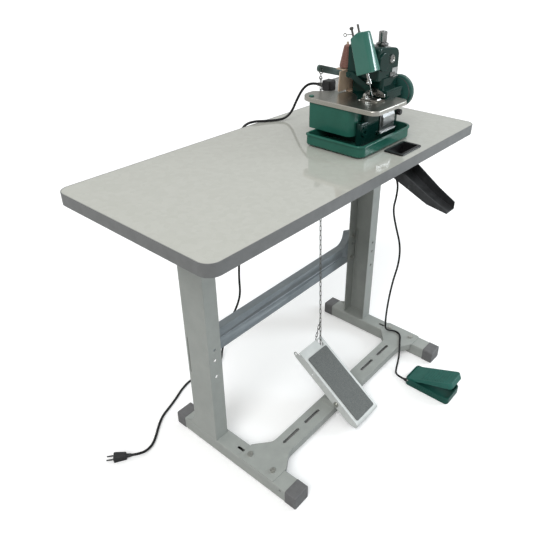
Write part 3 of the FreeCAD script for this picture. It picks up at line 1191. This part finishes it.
def motor_body():
    axis, length = (1, 0, 0), MOTOR_RIGHT - MOTOR_LEFT
    r = MOTOR_RADIUS
    profile = [(0, 0), (0, r - 8), (3, r - 3), (12, r - 2)]
    ribs = 5
    pitch = (length - 30) / ribs
    for i in range(ribs):
        start = 14 + i * pitch
        profile += [(start, r - 2), (start, r), (start + 0.55 * pitch, r), (start + 0.55 * pitch, r - 2)]
    profile += [(length - 10, r - 2), (length - 2, r - 5), (length, r - 9), (length, 0)]
    body = spin(profile, (MOTOR_LEFT, *MOTOR_AT), axis)
    foot = box((MOTOR_LEFT + 16, MOTOR_RIGHT - 16), (BED_BACK, MOTOR_AT[0] - 16),
               (MOTOR_AT[1] - 22, MOTOR_AT[1] + 2))
    body = joined([body, foot])
    return body.cut(rod((MOTOR_RIGHT - 18, *MOTOR_AT), (MOTOR_RIGHT + 1, *MOTOR_AT), 8 + 2 * RUN))


def motor_pulley():
    shaft = rod((MOTOR_RIGHT - 17, *MOTOR_AT), (BELT_X[1] + 4, *MOTOR_AT), 8)
    middle = (BELT_X[0] + BELT_X[1]) / 2
    r = PULLEY_RADIUS
    wheel = spin([(-5, 0), (-5, r + 3.5), (-4, r + 3.5), (-3.2, r), (3.2, r), (4, r + 3.5),
                  (5, r + 3.5), (5, 0)],
                 (middle, *MOTOR_AT), (1, 0, 0))
    return joined([shaft, wheel])


def belt_loop(first, last):
    """The outline of a belt at the given radii round wheel and pulley."""
    here, there = V(0, SHAFT_Y, SHAFT_LEVEL), V(0, *MOTOR_AT)
    run = there - here
    span = run.Length
    run.normalize()
    side = V(1, 0, 0).cross(run)
    tilt = math.asin((first - last) / span)
    up = side * math.cos(tilt) + run * math.sin(tilt)
    down = side * -math.cos(tilt) + run * math.sin(tilt)
    points = [here + up * first, there + up * last, there + run * last, there + down * last,
              here + down * first, here - run * first]
    edges = [Part.LineSegment(points[0], points[1]).toShape(),
             Part.Arc(points[1], points[2], points[3]).toShape(),
             Part.LineSegment(points[3], points[4]).toShape(),
             Part.Arc(points[4], points[5], points[0]).toShape()]
    return Part.Face(Part.Wire(edges))


def drive_belt():
    outer = belt_loop(GROOVE_RADIUS + 0.3 + BELT_THICK, PULLEY_RADIUS + 0.3 + BELT_THICK)
    inner = belt_loop(GROOVE_RADIUS + 0.3, PULLEY_RADIUS + 0.3)
    width = BELT_WIDTH - 1.6
    loop = outer.cut(inner).extrude(V(width, 0, 0))
    loop.translate(V((BELT_X[0] + BELT_X[1] - width) / 2, 0, 0))
    return loop


def looper(name):
    """A looper blade on its rocking shaft; the blade curves in under the needle."""
    pivot, y = [(p, y) for n, p, y in LOOPERS if n == name][0]
    shaft = rod((pivot[0], y - 4, pivot[1]), (pivot[0], CAVITY_BACK + 22, pivot[1]), LOOPER_SHAFT)
    hub = rod((pivot[0], y - 5, pivot[1]), (pivot[0], y + 5, pivot[1]), 15)
    reach = NEEDLE_X + (14 if name == "lower" else 26)
    tall = CAVITY_Z[1] - 3 - pivot[1] if name == "upper" else CAVITY_Z[1] - 22 - pivot[1]
    blade = prism("y", [(pivot[0], pivot[1] - 4), (pivot[0], pivot[1] + 4),
                        (reach + 14, pivot[1] + 0.5 * tall + 4, 12),
                        (reach, pivot[1] + tall), (reach + 8, pivot[1] + 0.4 * tall - 4, 12)], y - 1.5,
                        y + 1.5)
    return joined([shaft, hub, blade])


def upper_knife():
    y, z = KNIFE_PIVOT
    x = (KNIFE_X + 0.2, KNIFE_X + 4.2)
    tip = PLATE_LEVEL + 2.5
    profile = [(y + 8, z - 7, 6), (y + 8, z + 7, 6), (y - 20, z + 8, 8), (BED_FRONT - 4, z - 4, 4),
               (BED_FRONT - 4, tip + 2), (BED_FRONT + 8, tip), (BED_FRONT + 8, z - 14, 5), (y - 6, z - 7, 6)]
    arm = prism("x", profile, x[0], x[1])
    return arm.cut(rod((x[0] - 1, y, z), (x[1] + 1, y, z), KNIFE_PIN + 2 * RUN))


def lower_knife():
    x = (NEEDLE_PLATE_X[1] - 3.9, NEEDLE_PLATE_X[1])
    return prism("x", [(BED_FRONT - 7.9, BED_LEVEL), (BED_FRONT + 25.9, BED_LEVEL),
                       (BED_FRONT + 25.9, PLATE_LEVEL), (BED_FRONT - 7.9, PLATE_LEVEL)], x[0], x[1])


def feed_dog():
    left = 2 * NEEDLE_X - FEED_X
    teeth = []
    for x in (FEED_X, left):
        block = box((x - 2.4, x + 2.4), (FEED_SLOT[0] + 4, FEED_SLOT[1] - 4), (FEED_Z, PLATE_LEVEL - 0.2))
        for i in range(6):
            y = FEED_SLOT[0] + 6 + i * 3.4
            block = block.cut(prism("x", [(y, PLATE_LEVEL), (y + 1.2, PLATE_LEVEL - 1.6),
                                          (y + 2.4, PLATE_LEVEL)],
                                    x - 3, x + 3))
        teeth.append(block)
    bridge = box((left - 2.4, FEED_X + 5), (FEED_SLOT[1] - 10, FEED_SLOT[1] - 4), (FEED_Z - 5, FEED_Z + 5))
    slide = rod((FEED_X, FEED_SLOT[1] - 8, FEED_Z), (FEED_X, CAVITY_BACK + 20, FEED_Z), FEED_SHAFT)
    return joined(teeth + [bridge, slide])


def stitch_knob():
    x, z = STITCH_KNOB
    stem = rod((x, BED_FRONT - 6, z), (x, BED_FRONT + 13, z), 6)
    return joined([stem, knob_with_flutes((x, BED_FRONT - 1, z), (0, -1, 0), 16, 11, 10)])


# Head: presser lifter at the back
def lifter_shaft():
    at = LEVER_PIVOT
    start, end = COLUMN_OF_ARM[1][1] - 15, LEVER_Y + LEVER_THICK / 2
    shaft = rod((at[0], start, at[1]), (at[0], end + 6, at[1]), LEVER_PIN)
    face = LEVER_Y - LEVER_THICK / 2
    collar = rod((at[0], face - 5, at[1]), (at[0], face - 0.3, at[1]), 15)
    cap = rod((at[0], end + 0.3, at[1]), (at[0], end + 4, at[1]), 15)
    return joined([shaft, collar, cap])


def lifter_lever():
    pivot = V(LEVER_PIVOT[0], 0, LEVER_PIVOT[1])
    hole = V(HOOK_TOP.x, 0, HOOK_TOP.z)
    run = (hole - pivot).normalize()
    tip = hole + run * 6
    side = V(-run.z, 0, run.x)
    half = LEVER_WIDTH / 2
    y = (LEVER_Y - LEVER_THICK / 2, LEVER_Y + LEVER_THICK / 2)
    corners = [pivot + side * half, tip + side * half, tip - side * half, pivot - side * half]
    bar = prism("y", [(c.x, c.z) for c in corners], y[0], y[1])
    ends = [rod((p.x, y[0], p.z), (p.x, y[1], p.z), LEVER_WIDTH) for p in (pivot, tip)]
    bar = joined([bar] + ends)
    bar = bar.cut(rod((pivot.x, y[0] - 1, pivot.z), (pivot.x, y[1] + 1, pivot.z), LEVER_PIN + 2 * RUN))
    return bar.cut(rod((hole.x, y[0] - 1, hole.z), (hole.x, y[1] + 1, hole.z), LEVER_HOLE))


# Thread stand: a folded sheet bracket on the bed carrying one cone of thread
def spool_stand():
    sheet = STAND_SHEET
    panel_y = (BED_BACK - sheet, BED_BACK)
    shelf = BED_LEVEL + SHELF_RISE
    foot_x = (PLATE_WAIST + 4, PLATE_WAIST + 4 + STAND_FOOT)
    panel = prism("y", [(foot_x[0], BED_LEVEL), (foot_x[1], BED_LEVEL), (foot_x[1], shelf, 4),
                        (STAND_LEFT + 4, shelf, 4),
                        (STAND_LEFT, PLATE_LEVEL + 3, 4), (foot_x[0], PLATE_LEVEL + 3)], panel_y[0],
                        panel_y[1])
    foot = box(foot_x, (ARM_BACK + 0.5, panel_y[1]), (BED_LEVEL, BED_LEVEL + sheet))
    top = prism("z", rectangle((SPOOL_X - SHELF_SIDE, SPOOL_X + SHELF_SIDE),
                               (panel_y[0], SPOOL_Y + SHELF_SIDE), 3),
                shelf - sheet, shelf)
    pin = joined([rod((SPOOL_X, SPOOL_Y, shelf - 1), (SPOOL_X, SPOOL_Y, shelf + CONE_HEIGHT + 8), SPOOL_PIN),
                  rod((SPOOL_X, SPOOL_Y, shelf - 1), (SPOOL_X, SPOOL_Y, shelf + 2), 22)])
    return joined([panel, foot, top, pin])


def thread_cone():
    low = BED_LEVEL + SHELF_RISE + 2
    bore = SPOOL_PIN / 2 + 0.1
    profile = [(0, bore), (0, CONE_RADIUS - 2), (2, CONE_RADIUS), (8, CONE_RADIUS),
               (CONE_HEIGHT - 4, CONE_TIP_RADIUS), (CONE_HEIGHT, CONE_TIP_RADIUS - 4), (CONE_HEIGHT, bore)]
    return spin(profile, (SPOOL_X, SPOOL_Y, low), (0, 0, 1))


# Foot control: rounded shell, hinge pin, sloping pedal
CONTROL_SPAN = (CONTROL_X - CONTROL_WIDTH / 2, CONTROL_X + CONTROL_WIDTH / 2)
PEDAL_HINGE = (CONTROL_BACK - 9, CONTROL_HEIGHT - 5)


def foot_control_base():
    y = (CONTROL_FRONT, CONTROL_BACK)
    shell = prism("z", rectangle(CONTROL_SPAN, y, 12), 0, CONTROL_HEIGHT)
    shell = soften(shell, 3, lambda c, e: abs(c.z) < 0.1)
    wall = CONTROL_WALL
    room = rectangle((CONTROL_SPAN[0] + wall, CONTROL_SPAN[1] - wall), (y[0] + wall, y[1] - wall), 9)
    shell = shell.cut(prism("z", room, 4, CONTROL_HEIGHT + 1))
    ribs = []
    for i in range(GRIP_RIBS):
        low = y[1] - 34 - 8 * i
        ribs += [box((x, x + 1.6), (low, low + 3), (6, CONTROL_HEIGHT - 5))
                 for x in (CONTROL_SPAN[0] - 0.8, CONTROL_SPAN[1] - 0.8)]
    shell = joined([shell] + ribs)
    return shell.cut(rod((CONTROL_SPAN[0] - 2, *PEDAL_HINGE), (CONTROL_SPAN[1] + 2, *PEDAL_HINGE), PEDAL_PIN))


def foot_control_pin():
    return rod((CONTROL_SPAN[0] + 0.4, *PEDAL_HINGE), (CONTROL_SPAN[1] - 0.4, *PEDAL_HINGE), PEDAL_PIN)


def foot_control_pedal():
    half = CONTROL_WIDTH / 2 - CONTROL_WALL - 0.6
    reach = CONTROL_LENGTH + PEDAL_OVERHANG
    thick = 3.0
    plate = prism("z", [(-half, -reach, 12), (half, -reach, 12), (half, 3.8, 10), (-half, 3.8, 10)],
                  -PEDAL_SKIRT + 2, 5)
    wall = half - thick
    inner = [(-wall, -reach + thick, 9), (wall, -reach + thick, 9), (wall, 6), (-wall, 6)]
    plate = plate.cut(prism("z", inner, -PEDAL_SKIRT - 1, 5 - thick))
    plate = soften(plate, 1.5, lambda c, e: abs(c.z - 5) < 0.1 and c.y < 3)
    arch = [(6, -5), (-reach / 3, -4), (-reach - 1, -PEDAL_SKIRT + 2), (-reach - 1, -40), (6, -40)]
    plate = plate.cut(prism("x", arch, -half - 1, half + 1))
    starts = [-reach + 18 + 9 * i for i in range(10)]
    ribs = [box((-half + 10, half - 10), (start, start + 3), (4.5, 5.8)) for start in starts]
    knuckle = rod((-half + 6, 0, 0), (half - 6, 0, 0), PEDAL_PIN + 4.6)
    pedal = joined([plate, knuckle] + ribs)
    pedal = pedal.cut(rod((-half - 1, 0, 0), (half + 1, 0, 0), PEDAL_PIN + 2 * RUN))
    pedal.rotate(V(0, 0, 0), V(1, 0, 0), -PEDAL_TILT)
    pedal.translate(V(CONTROL_X, *PEDAL_HINGE))
    return pedal


# Cords: mains lead from the motor to its plug, and the lead of the foot control
MAINS_ROUTE = [
    (212, 106, 862), (212, 130, 862), (208, 156, 844), (199, 172, 808), (189, 182, 774), (174, 193, 757),
    (150, 206, 753.7), (132, 220, 753.7), (113, 231, 754), (96, 240, 756), (70, 255, 751), (52, 262, 727),
    (45, 262, 692), (43, 258, 640), (38, 253, 572), (31, 250, 488), (20, 249, 400), (10, 248, 318),
    (5, 247, 256), (7, 246, 205), (-5, 246, 168), (-27, 247, 138), (-46, 250, 98), (-60, 256, 56),
    (-80, 255, 20), (-104, 236, 4.4), (-132, 217, 3.7), (-170, 216, 3.7), (-210, 230, 3.7), (-248, 233, 3.7),
    (-285, 223, 3.7), (-320, 207, 3.7), (-356, 194, 3.7), (-392, 182, 3.7), (-420, 163, 3.7),
    (-447, 140, 3.7),
    (-473, 121, 4.2), (-498, 113.5, 7), (-519, 117.6, 9.2), (-536, 131.5, 9.2)]
FOOT_ROUTE = [
    (290, -80, 702), (290, -80, 676), (296, -106, 644), (301, -129, 604), (300, -129, 560), (299, -122, 516),
    (300, -137, 464), (301, -160, 404), (300, -162, 340), (299, -150, 276), (300, -142, 206),
    (299, -139, 142),
    (302, -138, 96), (310, -136, 68), (326, -139, 51), (341, -152, 47.6), (341, -172, 47.6),
    (326, -187, 47.6),
    (304, -198, 47.7), (278, -213, 48.2), (256, -226, 31), (239, -232, 13), (220, -239, 4.3),
    (204, -248, 5.5),
    (196, -264, 8), (196, -282, 8)]
PLUG_AIM = V(-0.775, 0.632, 0)


def cord_glands():
    x, y = (MOTOR_LEFT - BLOCK_LENGTH, MOTOR_LEFT), (MOTOR_Y + 12 - BLOCK_DEPTH, MOTOR_Y + 12)
    z = (MOTOR_AT[1] + 2, MOTOR_AT[1] + 2 + BLOCK_HEIGHT)
    block = soften(box(x, y, z), 3, lambda c, e: c.x < x[0] + 20)
    exit_at = (MOTOR_LEFT - 16, MOTOR_AT[1] + 14)
    ends = [(exit_at[0], y[1] + along, exit_at[1]) for along in (-2, SLEEVE_LENGTH)]
    sleeve = cone(ends[0], ends[1], CORD + 6, CORD + 2)
    low = (FOOT_ROUTE[0][0], FOOT_ROUTE[0][1])
    grommet = joined([rod((*low, TABLE_UNDER - 5), (*low, TABLE_UNDER), 20),
                      cone((*low, TABLE_UNDER - 4), (*low, TABLE_UNDER - GROMMET_LENGTH), FOOT_CORD + 5,
                           FOOT_CORD + 2)])
    end = FOOT_ROUTE[-1]
    boot = cone((end[0], CONTROL_BACK, end[2]), end, FOOT_CORD + 5, FOOT_CORD + 2)
    return Part.makeCompound([joined([block, sleeve]), grommet, boot])


def mains_plug():
    start = V(*MAINS_ROUTE[-1])
    aim = PLUG_AIM
    across = V(-aim.y, aim.x, 0)
    neck = Part.makeCone(CORD / 2 + 1, 6, 14, start, aim)
    body = prism("z", [(12, -7, 4), (PLUG_LENGTH, -12, 3), (PLUG_LENGTH, 12, 3), (12, 7, 4)],
                 -start.z + 0.2, 9.0)
    body = soften(body, 2, lambda c, e: e.BoundBox.ZLength < 0.01)
    body.rotate(V(0, 0, 0), V(0, 0, 1), math.degrees(math.atan2(aim.y, aim.x)))
    body.translate(start)
    face = start + aim * (PLUG_LENGTH - 1)
    pins = [Part.makeCylinder(2, 19, face + across * side, aim) for side in (-6.3, 6.3)]
    return joined([neck, body] + pins)


NODES = {
    "table_top": table_top,
    "table_edge_band": table_edge_band,
    "right_foot": right_foot,
    "left_foot": lambda: mirrored(right_foot()),
    "foot_end_caps": foot_end_caps,
    "right_column": right_column,
    "left_column": lambda: mirrored(right_column()),
    "column_top_plates": column_top_plates,
    "upper_crossbar": upper_crossbar,
    "treadle_bar": treadle_bar,
    "stand_fasteners": stand_fasteners,
    "chute_frame": chute_frame,
    "waste_chute": waste_chute,
    "treadle_bracket": treadle_bracket,
    "treadle_pivot_pin": treadle_pivot_pin,
    "treadle_plate": treadle_plate,
    "treadle_pad": treadle_pad,
    "chain_hook": chain_hook,
    "lifter_chain": lifter_chain,
    "base_tray": base_tray,
    "tray_feet": tray_feet,
    "machine_bed": machine_bed,
    "left_side_cover": left_side_cover,
    "cloth_plate": cloth_plate,
    "needle_plate": needle_plate,
    "front_cover": front_cover,
    "front_cover_pin": front_cover_pin,
    "upper_arm": upper_arm,
    "needle_bar_cover": needle_bar_cover,
    "needle_bar": needle_bar,
    "needle": needle,
    "presser_arm": presser_arm,
    "presser_foot": presser_foot,
    "pressure_screw": pressure_screw,
    "tension_unit": tension_unit,
    "tension_knob": tension_knob,
    "oil_sight_cap": oil_sight_cap,
    "thread_guides": thread_guides,
    "handwheel": handwheel,
    "main_shaft": main_shaft,
    "motor_body": motor_body,
    "motor_pulley": motor_pulley,
    "drive_belt": drive_belt,
    "lower_looper": lambda: looper("lower"),
    "upper_looper": lambda: looper("upper"),
    "upper_knife": upper_knife,
    "lower_knife": lower_knife,
    "feed_dog": feed_dog,
    "stitch_knob": stitch_knob,
    "lifter_shaft": lifter_shaft,
    "lifter_lever": lifter_lever,
    "spool_stand": spool_stand,
    "thread_cone": thread_cone,
    "foot_control_base": foot_control_base,
    "foot_control_pin": foot_control_pin,
    "foot_control_pedal": foot_control_pedal,
    "cord_glands": cord_glands,
    "mains_cord": lambda: cord_tube("mains_cord", MAINS_ROUTE, CORD),
    "mains_plug": mains_plug,
    "foot_cord": lambda: cord_tube("foot_cord", FOOT_ROUTE, FOOT_CORD),
}

for node, make in NODES.items():
    shape = make()
    shape.translate(V(0, -ORIGIN_Y, 0))
    if not shape.isValid():
        print("not valid:", node)
    shape.exportStep("parts/%s.step" % node)
